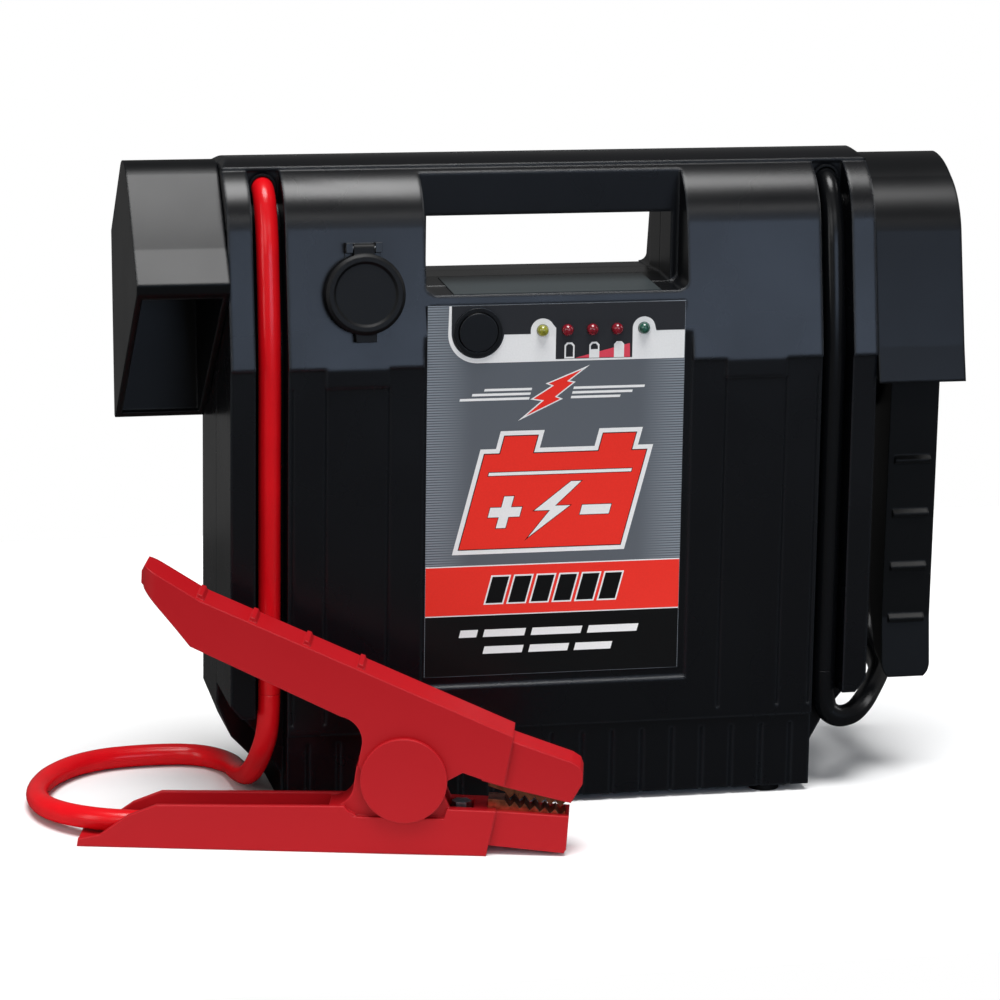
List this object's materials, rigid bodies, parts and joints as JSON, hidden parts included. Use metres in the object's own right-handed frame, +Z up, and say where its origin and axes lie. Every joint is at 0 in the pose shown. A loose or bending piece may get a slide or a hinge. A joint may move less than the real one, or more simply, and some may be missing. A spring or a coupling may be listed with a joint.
{
  "type": "jump starter pack",
  "caption": "Portable battery jump starter pack: upright case with carry opening, control panel, cable channels, side holsters and sprung red and black battery clamps.",
  "frame": {"origin": "bottom centre of the pack, on the surface its feet stand on, measured without the cables and clamps", "axes": "+Z up, -Y out of the control panel, +X to the right seen from the front"},
  "size_m": [0.423, 0.1795, 0.292],
  "materials": {
    "case_plastic": "satin moulded black",
    "holster_plastic": "satin moulded black",
    "red_handle_plastic": "satin moulded red",
    "black_handle_plastic": "satin moulded black",
    "red_cable_jacket": "smooth extruded red",
    "black_cable_jacket": "smooth extruded black",
    "copper": "copper plated",
    "spring_steel": "drawn wire",
    "zinc": "zinc plated",
    "lead_terminal": "cast lead",
    "battery_plastic": "moulded grey",
    "battery_lid_plastic": "moulded dark grey",
    "foam": "closed-cell foam",
    "soft_rubber": "matt black",
    "panel_plastic": "semi-gloss black",
    "button_plastic": "fine-textured black",
    "label_film": "printed film",
    "warning_film": "printed film",
    "circuit_laminate": "green solder mask",
    "steel_tube": "nickel plated",
    "contact_brass": "turned",
    "amber_lens": "translucent yellow-green",
    "red_lens": "translucent dark red",
    "green_lens": "translucent dark green"
  },
  "bodies": {
    "pack": {"battery_case": "battery_plastic", "battery_lid": "battery_lid_plastic", "battery_pads": "foam", "black_cable_grommet": "soft_rubber", "black_channel_cable": "black_cable_jacket", "black_clamp_cable_bolt": "zinc", "black_clamp_cable_end": "black_cable_jacket", "black_clamp_lower_handle": "black_handle_plastic", "black_clamp_lower_jaw": "copper", "black_clamp_pivot_pin": "spring_steel", "black_clamp_spring": "spring_steel", "black_free_cable": "black_cable_jacket", "button_ring": "panel_plastic", "cap_hinge_pin": "spring_steel", "case_screws": "zinc", "charge_complete_light": "green_lens", "charging_inlet": "panel_plastic", "charging_light": "amber_lens", "circuit_board": "circuit_laminate", "face_label": "label_film", "feet": "soft_rubber", "front_shell": "case_plastic", "holster_screws": "zinc", "left_holster": "holster_plastic", "negative_inner_lead": "black_cable_jacket", "negative_lug": "copper", "negative_terminal": "lead_terminal", "positive_inner_lead": "red_cable_jacket", "positive_lug": "copper", "positive_terminal": "lead_terminal", "power_level_lights": "red_lens", "push_switch": "panel_plastic", "rear_shell": "case_plastic", "red_cable_grommet": "soft_rubber", "red_channel_cable": "red_cable_jacket", "red_clamp_cable_bolt": "zinc", "red_clamp_cable_end": "red_cable_jacket", "red_clamp_lower_handle": "red_handle_plastic", "red_clamp_lower_jaw": "copper", "red_clamp_pivot_pin": "spring_steel", "red_clamp_spring": "spring_steel", "red_free_cable": "red_cable_jacket", "right_holster": "holster_plastic", "socket_barrel": "steel_tube", "socket_contact": "contact_brass", "socket_flange": "panel_plastic", "warning_label": "warning_film"},
    "status_button_body": {"status_button": "button_plastic"},
    "socket_cap_body": {"socket_cap": "soft_rubber"},
    "red_clamp_top": {"red_clamp_upper_handle": "red_handle_plastic", "red_clamp_upper_jaw": "copper", "red_clamp_pivot_caps": "red_handle_plastic"},
    "black_clamp_top": {"black_clamp_upper_handle": "black_handle_plastic", "black_clamp_upper_jaw": "copper", "black_clamp_pivot_caps": "black_handle_plastic"}
  },
  "joints": [
    {"name": "status_button_press", "type": "slide", "parent": "pack", "child": "status_button_body", "axis": [0, 1, 0], "range_m": [0, 0.0009], "stiffness_N_per_m": 900, "springref_m": -0.001},
    {"name": "socket_cap_hinge", "type": "hinge", "parent": "pack", "child": "socket_cap_body", "pos_m": [-0.0876, -0.03784, 0.256], "axis": [-1, 0, 0], "range_deg": [0, 120]},
    {"name": "red_clamp_squeeze", "type": "hinge", "parent": "pack", "child": "red_clamp_top", "pos_m": [-0.07772, -0.09335, 0.0336], "axis": [-0.247, -0.969, 0], "range_deg": [0, 26], "stiffness_Nm_per_rad": 2, "springref_deg": -28.65},
    {"name": "black_clamp_squeeze", "type": "hinge", "parent": "pack", "child": "black_clamp_top", "pos_m": [0.1725, 0.0148, 0.1873], "axis": [1, 0, 0], "range_deg": [0, 3.5], "stiffness_Nm_per_rad": 2, "springref_deg": -45.84}
  ]
}
